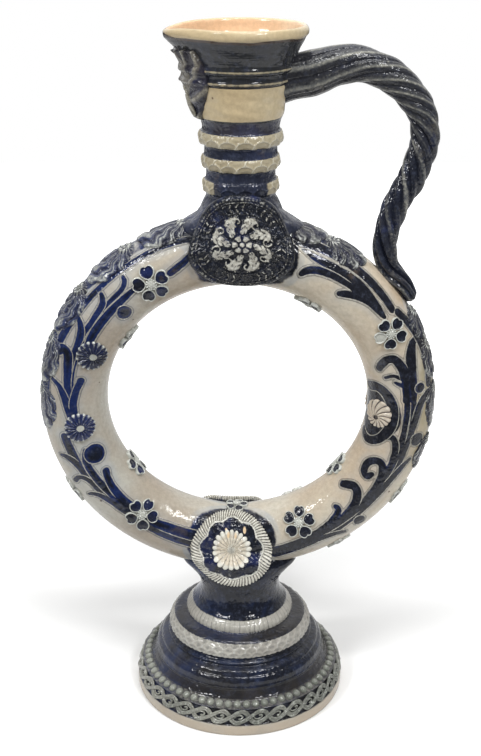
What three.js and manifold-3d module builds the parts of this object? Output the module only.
import * as THREE from "three";
import { mergeVertices } from "three/addons/utils/BufferGeometryUtils.js";
import Module from "manifold-3d";

// A salt-glazed stoneware ring ewer. It stands on z = 0 with its axis on z. The ring lies in the
// xz plane, the pouring lip points to -x, the handle to +x and the front to -y.
// Lengths are in millimetres, and angles in degrees until they are used.
// A turn goes round the ring: 0 at the handle side, 90 at the top.
// A wrap goes round its tube: 0 outward, 90 at the front, 180 inward.

// The neck and the foot were luted on a little towards the handle
const neckAxisX = 1.8;
const footAxisX = 1.3;

// Clearances of the slip joints between luted pieces and under the moulded sprigs
const seat = 0.3;
const sprigSeat = 0.45;

// Ring: a thrown hollow tube bent into a circle that sagged a little in drying
const ringHalfWidth = 99.1;
const ringHalfHeight = 93.7;
const tubeRadius = 20.1;
const tubeWall = 4.6;
const ringHoleRadius = 12;

// Foot, from the ground up: each band has its own radius and height
const footRingWidth = 6.5;
const footWall = 6;
const rimRadius = 67.2;
const rimHeight = 7.4;
const braidRadius = 67.6;
const braidTopRadius = 64.2;
const braidHeight = 9.7;
const beadRowRadius = 63.4;
const beadRowHeight = 3.5;
const filletRadius = 57;
const filletHeight = 5.4;
const bellRadius = 54.3;
const bellHeight = 10.4;
const ridgeRadius = 46.6;
const ridgeHeight = 2.6;
const grooveDepth = 2.2;
const grooveRise = 2.4;
const collarRadius = 45.7;
const collarHeight = 10.2;
const ledgeRadius = 39.4;
const ledgeHeight = 1;
const reedRadius = 34;
const reedHeight = 7.4;
const coneRadius = 30.6;
const waistRadius = 25.3;
const waistRise = 11.4;
const stemRise = 13.8;
const stemFlareRadius = 37;

// Collars of clay that hug the tube at the foot and at the neck
const collarWall = 3;
const saddleStop = 6.2;
const saddleInset = 8;

// Neck, from the ring up: three raised rings between grooves
const neckBoreRadius = 15;
const neckFlareRadius = 37;
const neckRadius = 20;
const neckFlareRise = 13;
const ringletRadii = [21.7, 22.2, 23.8];
const ringletHeight = 7.2;
const ringletGap = 6.4;
const ringletStart = 2.2;
const ringletSwell = 1.5;
const coveHeight = 6.4;
const neckTopRadius = 22.6;

// Mouth cup, from its seat on the neck up to the lip
const cupWall = 3.6;
const beltRadius = 26.2;
const beltHeight = 18.8;
const cordonRadius = 27.6;
const cordonGap = 1.5;
const cordonHeight = 2.4;
const hollowRadius = 26.8;
const hollowHeight = 3.6;
const shoulderRadius = 29.4;
const shoulderHeight = 4.6;
const flareHeight = 14;
const lipRadius = 37.2;
const lipHeight = 5.6;
const lipThickness = 3.4;
const spoutReach = 5.8;
const spoutPinch = 1.2;
const spoutDrop = 2.4;
const spoutHalfAngle = 22;

// Handle: a fluted bar, twisted, whose lower end is smeared out along the ring
const handleReach = 105;
const handleGrip = 10;
const handleTopBelowLip = 22.4;
const handleJoinTurn = 45;
const handleTailTurn = 31.6;
const handleTailLift = 3;
const handleFlutes = 7;
const handleTwistTurns = 1.9;
const handleFluteDepth = 0.14;

// Sprigs: reliefs pressed in moulds, trimmed and luted to the ring
const flowerHeight = 2.2;
const daisyHeight = 2.6;
const medallionThickness = 4.2;
const medallionRim = 0.86;
const medallionRadius = 28.2;
const medallionFullness = 0.07;
const medallionLift = 10.2;
const medallionShift = 2.2;
const rosetteTubeShare = 1.244;
const rosetteRadius = rosetteTubeShare * tubeRadius;
const rosetteFullness = 0;
const rosetteLift = 0.4;
const rosetteShift = -4.4;
const medallionStandRun = 9;
const medallionBendRun = 24;
const maskHeight = 40;
const maskHalfAngle = 46;
const maskThickness = 5.8;
const maskTopBelowLip = 11;

// Each row is the turn and wrap of a sprig's middle and its radius
const petalFlowers = [
  [120.5, 96, 11.4],
  [231.5, 103.5, 10.6],
  [30, 79.5, 10.2],
  [295, 118.5, 10.6],
];
const daisies = [
  [156.5, 109, 9.6],
  [187, 102, 9.6],
];
const whorls = [[357, 137, 9.4]];
// The flower at the ring's lowest inner point fills the way between the two foot rosettes
const rosetteGap = 1.2;
const bottomFlowerRadius = (Math.PI / 2) * tubeRadius - rosetteRadius - rosetteLift - rosetteGap;
const innerFlowers = [
  [146, 176, 9.6],
  [216.5, 178, 9.6],
  [269.5, 180, bottomFlowerRadius],
  [321.5, 184, 9.2],
  [58.5, 168, 9.6],
];
const outerFlowers = [
  [211, 14, 10],
  [328, 14, 10],
  [303, 18, 8.6],
];
// Each row is the turn and wrap of a leaf's middle, its half length and its height
const leaves = [
  [111, 6, 17, 3.4],
  [129, 12, 17, 3.4],
  [147, 16, 17, 3.2],
  [164, 20, 16, 2.4],
  [180, 24, 15, 1.6],
  [72, 6, 16, 3.2],
  [57.5, 14, 13, 2.2],
  [26.5, 18, 11, 3],
  [15, 22, 12, 2.4],
  [0, 24, 15, 1.6],
  [344, 26, 12, 2],
];
const leafHalfWidth = 10;

// Faces per piece
const ringSteps = 44;
const tubeSides = 16;
const channelSides = 6;
const footSides = 28;
const neckSides = 28;
const cupSides = 28;
const handleSteps = 42;

// Sizes that follow from those above
const rad = THREE.MathUtils.degToRad;
const mix = THREE.MathUtils.lerp;
const smooth = THREE.MathUtils.smoothstep;
const beadRowZ = rimHeight + braidHeight;
const filletZ = beadRowZ + beadRowHeight;
const bellZ = filletZ + filletHeight;
const ridgeZ = bellZ + bellHeight;
const collarZ = ridgeZ + ridgeHeight + grooveRise;
const ledgeZ = collarZ + collarHeight;
const reedZ = ledgeZ + ledgeHeight;
const coneZ = reedZ + reedHeight;
const waistZ = coneZ + waistRise;
const ringBottomZ = waistZ + stemRise;
const lowerAxisZ = ringBottomZ + tubeRadius;
const ringCentreZ = lowerAxisZ + ringHalfHeight;
const upperAxisZ = ringCentreZ + ringHalfHeight;
const ringTopZ = upperAxisZ + tubeRadius;
const neckNarrowZ = ringTopZ + neckFlareRise;
const ringletPitch = ringletHeight + ringletGap;
const coveZ = neckNarrowZ + ringletStart + ringletRadii.length * ringletPitch - ringletGap;
const neckTopZ = coveZ + coveHeight;
const cupZ = neckTopZ + seat;
const cordonZ = cupZ + beltHeight + cordonGap;
const hollowZ = cordonZ + cordonHeight;
const shoulderZ = hollowZ + hollowHeight;
const flareZ = shoulderZ + shoulderHeight;
const lipZ = flareZ + flareHeight;
const mouthZ = lipZ + lipHeight;

const wasm = await Module();
wasm.setup();

// Merges shared corners, drops faces that collapsed and turns the faces outward
function closed(geometry) {
  const bare = new THREE.BufferGeometry();
  bare.setAttribute("position", geometry.getAttribute("position").clone());
  if (geometry.index) bare.setIndex(geometry.index.clone());
  const merged = mergeVertices(bare, 1e-4);
  const position = merged.getAttribute("position");
  const index = merged.index.array;
  const corner = [0, 1, 2].map(() => new THREE.Vector3());
  const faces = [];
  let volume = 0;
  for (let i = 0; i < index.length; i += 3) {
    const face = [index[i], index[i + 1], index[i + 2]];
    if (new Set(face).size < 3) continue;
    faces.push(face);
    face.forEach((vertex, k) => corner[k].fromBufferAttribute(position, vertex));
    volume += corner[0].dot(corner[1].cross(corner[2])) / 6;
  }
  if (volume < 0) faces.forEach((face) => face.reverse());
  merged.setIndex(faces.flat());
  return merged;
}

function solidOf(geometry) {
  const body = closed(geometry);
  const vertProperties = new Float32Array(body.getAttribute("position").array);
  const triVerts = new Uint32Array(body.index.array);
  return new wasm.Manifold(new wasm.Mesh({ numProp: 3, vertProperties, triVerts }));
}

function geometryOf(solid) {
  const { vertProperties, triVerts } = solid.getMesh();
  const geometry = new THREE.BufferGeometry();
  geometry.setAttribute("position", new THREE.BufferAttribute(vertProperties, 3));
  geometry.setIndex(new THREE.BufferAttribute(triVerts, 1));
  return geometry;
}

// Takes the tools away from a body; a piece that they cut off whole is left out
function cut(geometry, ...tools) {
  const rest = tools.reduce((solid, tool) => solid.subtract(tool), solidOf(geometry));
  const parts = rest.decompose().sort((a, b) => b.volume() - a.volume());
  return geometryOf(parts[0]);
}

// A profile of [radius, height] points turned about the z axis
function revolve(profile, sides) {
  const points = profile.map(([radius, height]) => new THREE.Vector2(radius, height));
  return new THREE.LatheGeometry(points, sides).rotateX(Math.PI / 2);
}

// Half a round moulding between two heights, as [radius, height] points
function moulding(radius, bottom, height, bulge, steps = 4) {
  const points = [];
  for (let i = 0; i <= steps; i += 1) {
    const angle = (Math.PI * i) / steps;
    points.push([radius - bulge + bulge * Math.sin(angle), bottom + (height * (1 - Math.cos(angle))) / 2]);
  }
  return points;
}

// Skin over a stack of sections with as many corners each, closed on itself or by fans at its ends
function loft(sections, loop = false) {
  const sides = sections[0].length;
  const corners = sections.flat();
  const index = [];
  const spans = loop ? sections.length : sections.length - 1;
  for (let i = 0; i < spans; i += 1) {
    const here = i * sides;
    const next = ((i + 1) % sections.length) * sides;
    for (let k = 0; k < sides; k += 1) {
      const beside = (k + 1) % sides;
      index.push(here + k, here + beside, next + beside, here + k, next + beside, next + k);
    }
  }
  if (!loop) {
    for (const [section, flip] of [[0, true], [sections.length - 1, false]]) {
      const middle = new THREE.Vector3();
      sections[section].forEach((point) => middle.addScaledVector(point, 1 / sides));
      corners.push(middle);
      for (let k = 0; k < sides; k += 1) {
        const pair = [section * sides + k, section * sides + ((k + 1) % sides)];
        if (flip) pair.reverse();
        index.push(pair[0], pair[1], corners.length - 1);
      }
    }
  }
  const geometry = new THREE.BufferGeometry().setFromPoints(corners);
  geometry.setIndex(index);
  return geometry;
}

// A point at a turn and wrap, in radians, and a height above the ring's glazed surface
function ringPoint(turn, wrap, lift) {
  const cos = Math.cos(turn);
  const sin = Math.sin(turn);
  const outward = new THREE.Vector3(cos / ringHalfWidth, 0, sin / ringHalfHeight).normalize();
  const reach = tubeRadius + lift;
  return new THREE.Vector3(ringHalfWidth * cos, 0, ringCentreZ + ringHalfHeight * sin)
    .addScaledVector(outward, reach * Math.cos(wrap))
    .add(new THREE.Vector3(0, -reach * Math.sin(wrap), 0));
}

function ringTube(lift, sides) {
  const sections = [];
  for (let i = 0; i < ringSteps; i += 1) {
    const section = [];
    for (let k = 0; k < sides; k += 1) {
      section.push(ringPoint((2 * Math.PI * i) / ringSteps, (2 * Math.PI * k) / sides, lift));
    }
    sections.push(section);
  }
  return loft(sections, true);
}

const ringTool = solidOf(ringTube(seat, tubeSides));

// Ring with its channel, open at the top into the neck
function makeRing() {
  const channel = solidOf(ringTube(-tubeWall, channelSides));
  const length = 2 * tubeRadius;
  const hole = new THREE.CylinderGeometry(ringHoleRadius, ringHoleRadius, length, 20)
    .rotateX(Math.PI / 2)
    .translate(neckAxisX, 0, upperAxisZ + length / 2);
  return cut(ringTube(0, tubeSides), channel, solidOf(hole));
}

// Draws a flared end in at the front and back, from round to the width that hugs the tube
function ovalFlare(geometry, roundZ, roundRadius, saddleZ) {
  const position = geometry.getAttribute("position");
  for (let i = 0; i < position.count; i += 1) {
    const share = (position.getZ(i) - roundZ) / (saddleZ - roundZ);
    const radius = Math.hypot(position.getX(i), position.getY(i));
    const depth = mix(roundRadius, tubeRadius + collarWall, Math.min(share, 1));
    if (share > 0 && radius > depth) position.setY(i, (position.getY(i) * depth) / radius);
  }
  return geometry;
}

// Foot before its top is cut to a saddle for the ring: hollow under its bell, banded outside
const footTopZ = lowerAxisZ - saddleStop;
function footBody() {
  const rimInside = rimRadius - footRingWidth;
  const profile = [
    [0, reedZ - footWall],
    [reedRadius - 2 * footWall, reedZ - footWall - 1],
    [ridgeRadius - footWall, ridgeZ - footWall],
    [bellRadius - footWall, bellZ - footWall],
    [rimInside, rimHeight / 2],
    [rimInside, 0],
    [rimRadius - 1, 0],
    [rimRadius, 1],
    [rimRadius, rimHeight],
    [braidRadius, rimHeight + 0.6],
    [braidTopRadius + 1, beadRowZ - 3],
    [braidTopRadius - 1, beadRowZ],
    [beadRowRadius, beadRowZ + 0.3 * beadRowHeight],
    [mix(beadRowRadius, filletRadius, 0.5), filletZ + 0.4],
    [filletRadius, filletZ],
    [bellRadius, bellZ],
    [bellRadius - 0.6, bellZ + 0.34 * bellHeight],
    [mix(bellRadius, ridgeRadius, 0.42), bellZ + 0.76 * bellHeight],
    [ridgeRadius - 0.6, ridgeZ],
    [ridgeRadius, ridgeZ + 0.5 * ridgeHeight],
    [ridgeRadius - 0.7, ridgeZ + ridgeHeight],
    [ridgeRadius - grooveDepth, collarZ - 0.4 * grooveRise],
    [collarRadius - 0.5, collarZ + 0.04 * collarHeight],
    [collarRadius, collarZ + 0.28 * collarHeight],
    [mix(collarRadius, ledgeRadius, 0.22), collarZ + 0.66 * collarHeight],
    [mix(collarRadius, ledgeRadius, 0.6), collarZ + 0.92 * collarHeight],
    [ledgeRadius, ledgeZ],
    [reedRadius - 0.3, reedZ],
    [reedRadius, reedZ + 0.2 * reedHeight],
    [mix(reedRadius, coneRadius, 0.35), reedZ + 0.7 * reedHeight],
    [coneRadius, coneZ],
    [mix(coneRadius, waistRadius, 0.6), coneZ + 0.4 * waistRise],
    [waistRadius, waistZ],
    [mix(waistRadius, stemFlareRadius, 0.12), waistZ + 0.4 * stemRise],
    [mix(waistRadius, stemFlareRadius, 0.4), waistZ + 0.75 * stemRise],
    [mix(waistRadius, stemFlareRadius, 0.76), ringBottomZ + 0.4],
    [stemFlareRadius, ringBottomZ + 4.6],
    [stemFlareRadius - 2.6, footTopZ - 3],
    [stemFlareRadius - saddleInset, footTopZ],
    [0, footTopZ],
  ];
  const body = ovalFlare(revolve(profile, footSides), waistZ, waistRadius, footTopZ);
  return body.translate(footAxisX, 0, 0);
}

// Neck before it is cut to the ring: a bored stem with raised rings and a flared end
const neckBottomZ = upperAxisZ + saddleStop;
function neckBody() {
  const outside = [
    [neckBoreRadius, neckBottomZ],
    [neckFlareRadius - saddleInset, neckBottomZ],
    [neckFlareRadius - 2.4, neckBottomZ + 3.4],
    [neckFlareRadius, ringTopZ - 5],
    [mix(neckRadius, neckFlareRadius, 0.48), ringTopZ - 0.4],
    [mix(neckRadius, neckFlareRadius, 0.2), ringTopZ + 0.34 * neckFlareRise],
    [neckRadius, neckNarrowZ],
  ];
  ringletRadii.forEach((radius, i) => {
    const bottom = neckNarrowZ + ringletStart + i * ringletPitch;
    outside.push(...moulding(radius, bottom, ringletHeight, ringletSwell, 3));
  });
  outside.push([neckTopRadius - 0.8, coveZ + 0.4 * coveHeight], [neckTopRadius, neckTopZ]);
  outside.push([neckBoreRadius, neckTopZ]);
  const profile = [...outside, outside[0]];
  const body = ovalFlare(revolve(profile, neckSides), neckNarrowZ, neckRadius, neckBottomZ);
  return body.translate(neckAxisX, 0, 0);
}

// A body grown sideways by the seat, and by as much over its end, to trim what lies on it
function grown(body, radius, rise) {
  const factor = 1 + seat / radius;
  const solid = solidOf(body.clone().scale(factor, factor, 1));
  return solid.add(solid.translate(0, 0, rise));
}

// Outside of the mouth cup, from its underside to the lip
const cupOutside = [
  [neckTopRadius + 0.4, cupZ],
  [beltRadius - 2.4, cupZ + 2.4],
  [beltRadius - 1.4, cupZ + 0.5 * beltHeight],
  [beltRadius, cupZ + beltHeight],
  [beltRadius - 0.4, cordonZ - 0.3],
  ...moulding(cordonRadius, cordonZ, cordonHeight, 0.8, 2),
  [hollowRadius, hollowZ + 0.6],
  [hollowRadius + 0.6, shoulderZ - 0.5],
  ...moulding(shoulderRadius, shoulderZ, shoulderHeight, 1, 2),
  [mix(shoulderRadius, lipRadius, 0.36), flareZ + 0.45 * flareHeight],
  [lipRadius - 1.1, lipZ],
  [lipRadius, lipZ + 0.35 * lipHeight],
  [lipRadius - 0.2, lipZ + 0.78 * lipHeight],
  [lipRadius - 0.5 * lipThickness, mouthZ],
];

// Pinches the lip out into a spout at -x, most at the rim, and draws it in beside the spout
function pinch(geometry) {
  const position = geometry.getAttribute("position");
  for (let i = 0; i < position.count; i += 1) {
    const x = position.getX(i);
    const y = position.getY(i);
    const z = position.getZ(i);
    const away = Math.abs(Math.atan2(y, -x)) / rad(spoutHalfAngle);
    const rise = smooth(z, shoulderZ, mouthZ);
    const middle = Math.exp(-away * away);
    const beside = Math.exp(-((away - 2.2) ** 2));
    const radius = Math.hypot(x, y);
    const factor = 1 + (rise * (spoutReach * middle - spoutPinch * beside)) / Math.max(radius, 1);
    position.setXYZ(i, x * factor, y * factor, z - spoutDrop * rise * middle);
  }
  return geometry;
}

function makeCup() {
  const inside = [
    [lipRadius - lipThickness, mouthZ - 1.6],
    [lipRadius - lipThickness - 1, lipZ],
    [shoulderRadius - cupWall, flareZ],
    [hollowRadius - cupWall - 1.4, hollowZ],
    [beltRadius - cupWall - 1.6, cupZ + 0.62 * beltHeight],
    [1.36 * neckBoreRadius, cupZ + 0.26 * beltHeight],
    [neckBoreRadius, cupZ],
  ];
  return pinch(revolve([...cupOutside, ...inside, cupOutside[0]], cupSides)).translate(neckAxisX, 0, 0);
}

// The cup and neck as filled bodies, grown by a clearance, to trim what is luted to them
function cupTool(clearance) {
  const grown = cupOutside.map(([radius, height]) => [radius + clearance, height]);
  const profile = [[0, cupZ - clearance], [grown[0][0], cupZ - clearance], ...grown, [0, mouthZ]];
  return solidOf(pinch(revolve(profile, cupSides)).translate(neckAxisX, 0, 0));
}

// Handle stations: shares of the reach and of the rise, half height and half width in grips
const handleStations = [
  [-0.14, 0.9, 1.4, 1.1],
  [0.02, 0.945, 1.38, 1.14],
  [0.17, 0.975, 1.28, 1.16],
  [0.34, 1.006, 1.16, 1.12],
  [0.546, 1.001, 1.02, 1.04],
  [0.771, 0.932, 0.98, 1],
  [0.943, 0.809, 0.89, 0.94],
  [1, 0.705, 0.87, 0.9],
  [0.987, 0.576, 0.9, 0.9],
  [0.9, 0.425, 0.88, 0.86],
  [0.792, 0.285, 0.82, 0.82],
  [0.742, 0.131, 0.78, 0.8],
];

function makeHandle() {
  const rootX = neckAxisX + shoulderRadius;
  const join = ringPoint(rad(handleJoinTurn), 0, 0.52 * handleGrip);
  const top = mouthZ - handleTopBelowLip;
  const route = handleStations.map(([reach, rise]) => (
    new THREE.Vector3(mix(rootX, handleReach, reach), 0, mix(join.z, top, rise))
  ));
  const sizes = handleStations.map(([, , high, wide]) => new THREE.Vector3(high, wide, 0).multiplyScalar(handleGrip));
  route.push(join, ringPoint(rad(mix(handleJoinTurn, handleTailTurn, 0.55)), 0, 0.4 * handleGrip));
  sizes.push(new THREE.Vector3(0.72, 0.82, 0).multiplyScalar(handleGrip));
  sizes.push(new THREE.Vector3(0.62, 0.86, 0).multiplyScalar(handleGrip));
  route.push(ringPoint(rad(handleTailTurn), 0, handleTailLift));
  sizes.push(new THREE.Vector3(0.46, 0.74, 0).multiplyScalar(handleGrip));
  const path = new THREE.CatmullRomCurve3(route, false, "centripetal");
  const size = new THREE.CatmullRomCurve3(sizes, false, "catmullrom");
  const across = new THREE.Vector3(0, 1, 0);
  const upright = new THREE.Vector3(0, 0, -1);
  const sides = 2 * handleFlutes;
  const sections = [];
  for (let i = 0; i <= handleSteps; i += 1) {
    const share = i / handleSteps;
    const middle = path.getPoint(share);
    const up = new THREE.Vector3().crossVectors(across, path.getTangent(share)).normalize();
    up.lerp(upright, 1 - smooth(share, 0.03, 0.2)).normalize();
    const { x: high, y: wide } = size.getPoint(share);
    const twist = 2 * Math.PI * handleTwistTurns * smooth(share, 0.1, 1.02);
    const section = [];
    for (let k = 0; k < sides; k += 1) {
      const angle = (2 * Math.PI * k) / sides + twist;
      const flute = k % 2 ? 1 - handleFluteDepth : 1;
      section.push(middle.clone()
        .addScaledVector(up, flute * high * Math.sin(angle))
        .addScaledVector(across, flute * wide * Math.cos(angle)));
    }
    sections.push(section);
  }
  return cut(loft(sections), ringTool, cupTool(seat));
}

// A moulded relief in polar form, carried onto a surface by place(along, up, lift).
// outline(angle) is its radius, relief(angle, share) its height from middle to edge.
// Its underside is hollowed a little towards baseMiddle, so that it rides over the curve.
function sprig({ sides, rings, outline, relief, place, base, baseMiddle }) {
  const corners = [place(0, 0, relief(0, 0))];
  const index = [];
  const level = (share, height) => {
    const start = corners.length;
    for (let k = 0; k < sides; k += 1) {
      const angle = (2 * Math.PI * k) / sides;
      const radius = outline(angle) * share;
      corners.push(place(radius * Math.cos(angle), radius * Math.sin(angle), height(angle, share)));
    }
    return start;
  };
  const fan = (middle, start, flip) => {
    for (let k = 0; k < sides; k += 1) {
      const pair = [start + k, start + ((k + 1) % sides)];
      if (flip) pair.reverse();
      index.push(middle, pair[0], pair[1]);
    }
  };
  const strip = (inner, outer) => {
    for (let k = 0; k < sides; k += 1) {
      const beside = (k + 1) % sides;
      index.push(inner + k, outer + k, outer + beside, inner + k, outer + beside, inner + beside);
    }
  };
  let last = 0;
  for (let i = 1; i <= rings; i += 1) {
    const next = level(i / rings, relief);
    if (i === 1) fan(0, next, false);
    else strip(last, next);
    last = next;
  }
  const under = level(1, () => base);
  strip(last, under);
  last = under;
  corners.push(place(0, 0, baseMiddle));
  fan(corners.length - 1, last, true);
  const geometry = new THREE.BufferGeometry().setFromPoints(corners);
  geometry.setIndex(index);
  return closed(geometry);
}

const hollowUnder = (radius) => sprigSeat + (0.6 * radius * radius) / (4 * tubeRadius);

// Carries a flat relief onto the ring about a turn and wrap, at the front or, mirrored, the back
function onRing(turn, wrap, face) {
  const middleTurn = rad(turn);
  const middleWrap = rad(wrap);
  const radius = ringHalfWidth + tubeRadius * Math.cos(middleWrap);
  return (along, up, lift) => {
    const point = ringPoint(middleTurn + along / radius, middleWrap + up / tubeRadius, lift);
    point.y *= face;
    return point;
  };
}

// Five heart-shaped petals with raised rims round a small boss
function petalFlower(radius, place, sides) {
  const outline = (angle) => {
    const across = Math.abs(Math.cos(2.5 * angle));
    return radius * (0.62 + 0.42 * across ** 0.7 - 0.06 * across ** 12);
  };
  const relief = (angle, share) => flowerHeight * (share === 0 ? 1.2 : 0.62 + 0.2 * share);
  const baseMiddle = hollowUnder(radius);
  return sprig({ sides, rings: 2, outline, relief, place, base: sprigSeat, baseMiddle });
}

// Narrow petals that alternate long and short round a domed heart
function daisy(radius, place, sides) {
  const outline = (angle) => radius * (0.93 + 0.07 * Math.cos((angle * sides) / 2));
  const relief = (angle, share) => daisyHeight * (1 - 0.52 * share);
  const baseMiddle = hollowUnder(radius);
  return sprig({ sides, rings: 2, outline, relief, place, base: sprigSeat, baseMiddle });
}

// A lobed leaf lying along the ring, ridged down its middle
function leaf(halfLength, height, place) {
  const sides = 20;
  const outline = (angle) => {
    const oval = (halfLength * leafHalfWidth)
      / Math.hypot(leafHalfWidth * Math.cos(angle), halfLength * Math.sin(angle));
    return oval * (0.9 + 0.1 * Math.cos(5 * angle));
  };
  const relief = (angle, share) => height * (1 - 0.62 * share * share);
  const baseMiddle = hollowUnder(leafHalfWidth);
  return sprig({ sides, rings: 2, outline, relief, place, base: sprigSeat, baseMiddle });
}

// Carries a medallion over the tube on its ring side and over the neck or stem on the other,
// where it lies flat at first and bends more and more round the body.
// end is 1 at the neck and -1 at the stem; up points to the neck in both.
function onEnd(end, face, bodyRadius, bodyX) {
  return (along, up, lift) => {
    const outward = end * up;
    const turn = end * (Math.PI / 2 - along / ringHalfWidth);
    if (outward <= 0) {
      const wrapped = ringPoint(turn, Math.PI / 2 - outward / tubeRadius, lift);
      wrapped.y *= face;
      return wrapped;
    }
    const axis = ringPoint(turn, Math.PI / 2, 0);
    const share = smooth(outward, 0, medallionBendRun);
    const bend = Math.max(share / bodyRadius, 1e-4);
    const stand = Math.max(collarWall, bodyRadius - tubeRadius) + 2 * seat;
    const depth = tubeRadius + stand * smooth(outward, 0, medallionStandRun) + lift;
    const x = mix(axis.x, bodyX + Math.sin((along - bodyX) * bend) / bend, share);
    const y = -(depth - (1 - Math.cos((along - bodyX) * bend)) / bend);
    return new THREE.Vector3(x, y * face, axis.z + end * outward);
  };
}

// A disc with a lowered rim, sunk into what lies behind it until that is cut away
function medallion(radius, shift, lift, fullness, carry) {
  const outline = (angle) => radius * (1 + fullness * Math.sin(2 * angle) ** 2);
  const relief = (angle, share) => (
    medallionThickness * (share > medallionRim ? 0.7 : 1 - 0.22 * share)
  );
  const place = (along, up, height) => carry(along + shift, up + lift, height);
  const base = -medallionThickness;
  return sprig({ sides: 24, rings: 3, outline, relief, place, base, baseMiddle: base });
}

// Bearded mask under the spout: forehead, cheeks and beard as one swelling relief on the cup
function makeMask() {
  const columns = 8;
  const rows = 9;
  const top = mouthZ - maskTopBelowLip;
  const surface = (z) => {
    const next = cupOutside.findIndex(([, height]) => height >= z);
    if (next < 1) return neckTopRadius;
    const [[r0, z0], [r1, z1]] = [cupOutside[next - 1], cupOutside[next]];
    return z1 > z0 ? mix(r0, r1, (z - z0) / (z1 - z0)) : r1;
  };
  const level = (lift) => {
    const sections = [];
    for (let i = 0; i <= rows; i += 1) {
      const down = i / rows;
      const z = top - maskHeight * down;
      const width = rad(maskHalfAngle) * (0.62 + 0.5 * Math.sin(Math.PI * Math.min(down * 0.9 + 0.16, 1)));
      const section = [];
      for (let k = 0; k <= columns; k += 1) {
        const side = (2 * k) / columns - 1;
        const swell = Math.sqrt(Math.max(0, 1 - side * side)) * Math.sin(Math.PI * (0.12 + 0.8 * down));
        const radius = surface(z) + lift(swell, side, down);
        const angle = Math.PI + width * side;
        section.push(new THREE.Vector3(radius * Math.cos(angle), radius * Math.sin(angle), z));
      }
      sections.push(section);
    }
    return sections;
  };
  const nose = (side, down) => 1.6 * Math.exp(-((side / 0.22) ** 2) - (((down - 0.42) / 0.12) ** 2));
  const front = level((swell, side, down) => 1.6 + (maskThickness - 1.6) * swell + nose(side, down));
  const back = level(() => -2);
  const loops = front.map((section, i) => [...section, ...back[i].reverse()]);
  const body = pinch(closed(loft(loops))).translate(neckAxisX, 0, 0);
  return cut(body, cupTool(seat), neckTool);
}

const neckTool = solidOf(revolve([
  [0, neckNarrowZ],
  [neckRadius + 2, neckNarrowZ],
  [neckTopRadius + seat + 1, neckTopZ - coveHeight],
  [neckTopRadius + seat, neckTopZ + 2 * seat],
  [0, neckTopZ + 2 * seat],
], neckSides).translate(neckAxisX, 0, 0));

const glazes = {
  ring_glaze: { color: 0xa59a83, roughness: 0.35, metalness: 0 },
  foot_glaze: { color: 0x2b3350, roughness: 0.22, metalness: 0 },
  neck_glaze: { color: 0x4a4c55, roughness: 0.3, metalness: 0 },
  cup_glaze: { color: 0x6a6558, roughness: 0.32, metalness: 0 },
  handle_glaze: { color: 0x3c3f47, roughness: 0.3, metalness: 0 },
  mask_glaze: { color: 0x55564f, roughness: 0.32, metalness: 0 },
  medallion_glaze: { color: 0x595a5c, roughness: 0.3, metalness: 0 },
  sprig_glaze: { color: 0x7d8290, roughness: 0.3, metalness: 0 },
  leaf_glaze: { color: 0x9a917d, roughness: 0.35, metalness: 0 },
};

const ewer = new THREE.Group();
function add(name, geometry, glaze) {
  const mesh = new THREE.Mesh(geometry, new THREE.MeshStandardMaterial(glazes[glaze]));
  mesh.name = name;
  ewer.add(mesh);
  return mesh;
}

add("foot", cut(footBody(), ringTool), "foot_glaze");
add("ring_body", makeRing(), "ring_glaze");
add("neck", cut(neckBody(), ringTool), "neck_glaze");
add("mouth_cup", closed(makeCup()), "cup_glaze");
add("handle", makeHandle(), "handle_glaze");
add("spout_mask", makeMask(), "mask_glaze");

const grownNeck = grown(neckBody(), neckRadius, -seat);
const grownFoot = grown(footBody(), waistRadius, seat);

for (const [face, side] of [[1, "front"], [-1, "back"]]) {
  const neckSeat = onEnd(1, face, neckRadius, neckAxisX);
  const footSeat = onEnd(-1, face, waistRadius, footAxisX);
  const top = medallion(medallionRadius, medallionShift, medallionLift, medallionFullness, neckSeat);
  const bottom = medallion(rosetteRadius, rosetteShift, rosetteLift, rosetteFullness, footSeat);
  add(`neck_medallion_${side}`, cut(top, ringTool, grownNeck), "medallion_glaze");
  add(`foot_rosette_${side}`, cut(bottom, ringTool, grownFoot), "medallion_glaze");
  petalFlowers.forEach(([turn, wrap, radius], i) => {
    add(`petal_flower_${side}_${i + 1}`, petalFlower(radius, onRing(turn, wrap, face), 20), "sprig_glaze");
  });
  daisies.forEach(([turn, wrap, radius], i) => {
    add(`daisy_${side}_${i + 1}`, daisy(radius, onRing(turn, wrap, face), 20), "sprig_glaze");
  });
  whorls.forEach(([turn, wrap, radius]) => {
    add(`whorl_rosette_${side}`, daisy(radius, onRing(turn, wrap, face), 20), "sprig_glaze");
  });
}
innerFlowers.forEach(([turn, wrap, radius], i) => {
  add(`inner_flower_${i + 1}`, petalFlower(radius, onRing(turn, wrap, 1), 20), "sprig_glaze");
});
outerFlowers.forEach(([turn, wrap, radius], i) => {
  add(`outer_flower_${i + 1}`, petalFlower(radius, onRing(turn, wrap, 1), 20), "sprig_glaze");
});
leaves.forEach(([turn, wrap, halfLength, height], i) => {
  const body = leaf(halfLength, height, onRing(turn, wrap, 1));
  add(`shoulder_leaf_${i + 1}`, cut(body, grownNeck), "leaf_glaze");
});

export default ewer;
